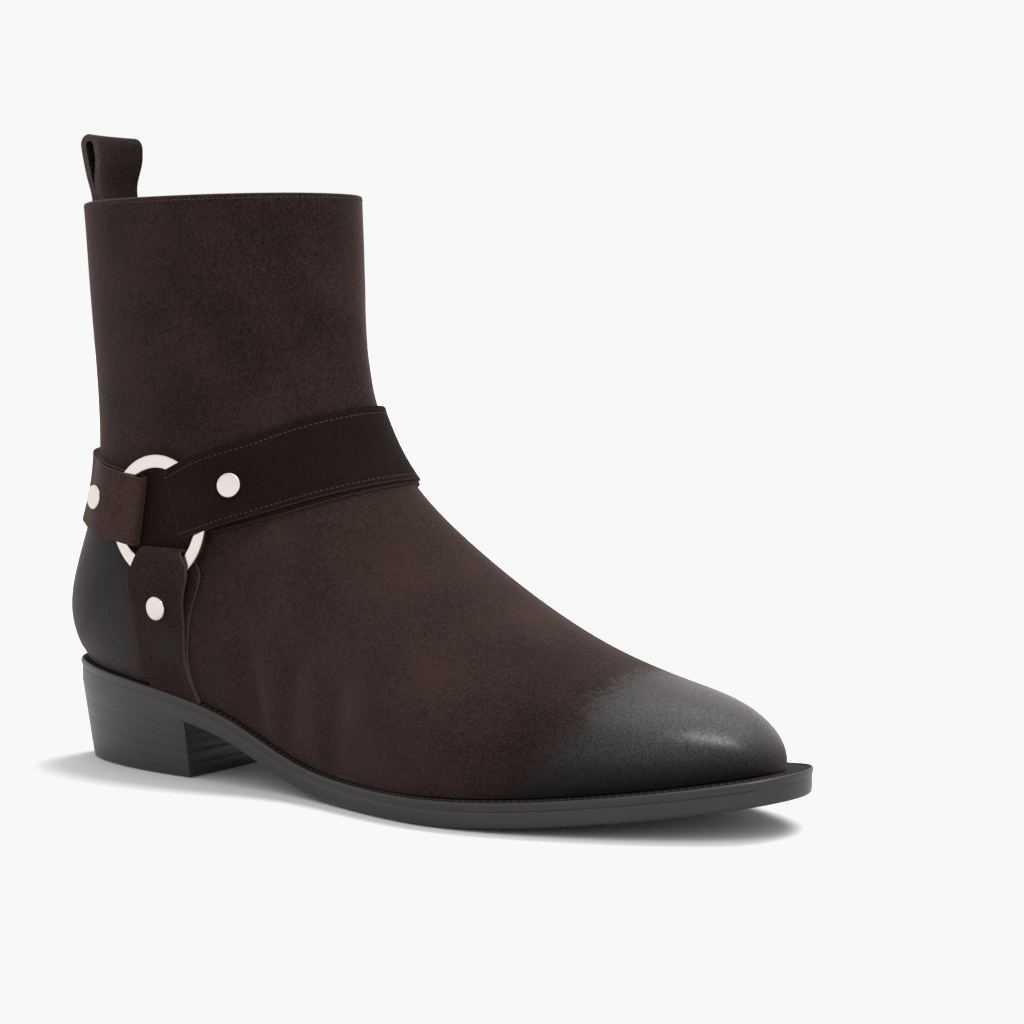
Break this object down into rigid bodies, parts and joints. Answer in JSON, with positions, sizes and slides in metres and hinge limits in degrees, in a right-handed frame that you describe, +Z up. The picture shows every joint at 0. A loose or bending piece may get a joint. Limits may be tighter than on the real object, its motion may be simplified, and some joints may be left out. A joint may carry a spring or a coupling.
{
  "type": "harness boot",
  "caption": "Right ankle boot in dark suede with burnished toe and heel, harness straps joined by flat metal rings, low block heel and a pull loop at the back of the open collar.",
  "frame": {"origin": "on the floor, under the middle of the boot's box", "axes": "+X towards the toe, -Y to the outer side of the foot, +Y to the inner side, +Z up"},
  "size_m": [0.3082, 0.1058, 0.2358],
  "materials": {
    "suede": "dark brown suede, burnished black at the toe and heel",
    "loop_suede": "dark brown suede",
    "strap_suede": "dark brown suede with cut edges",
    "insole_leather": "smooth",
    "welt_leather": "satin, stained dark",
    "sole_leather": "satin, stained dark",
    "heel_leather": "satin, stacked layers stained dark",
    "heel_rubber": "matt",
    "ring_nickel": "polished nickel",
    "rivet_nickel": "nickel, light polish"
  },
  "bodies": {
    "root": {"upper": "suede", "insole": "insole_leather", "welt": "welt_leather", "outsole": "sole_leather", "heel_block": "heel_leather", "heel_top_piece": "heel_rubber", "pull_loop": "loop_suede", "instep_strap": "strap_suede", "heel_strap": "strap_suede", "anchor_strap_outer": "strap_suede", "anchor_strap_inner": "strap_suede", "ring_outer": "ring_nickel", "ring_inner": "ring_nickel", "rivet_instep_outer": "rivet_nickel", "rivet_instep_inner": "rivet_nickel", "rivet_heel_outer": "rivet_nickel", "rivet_heel_inner": "rivet_nickel", "rivet_anchor_outer": "rivet_nickel", "rivet_anchor_inner": "rivet_nickel"}
  },
  "joints": []
}
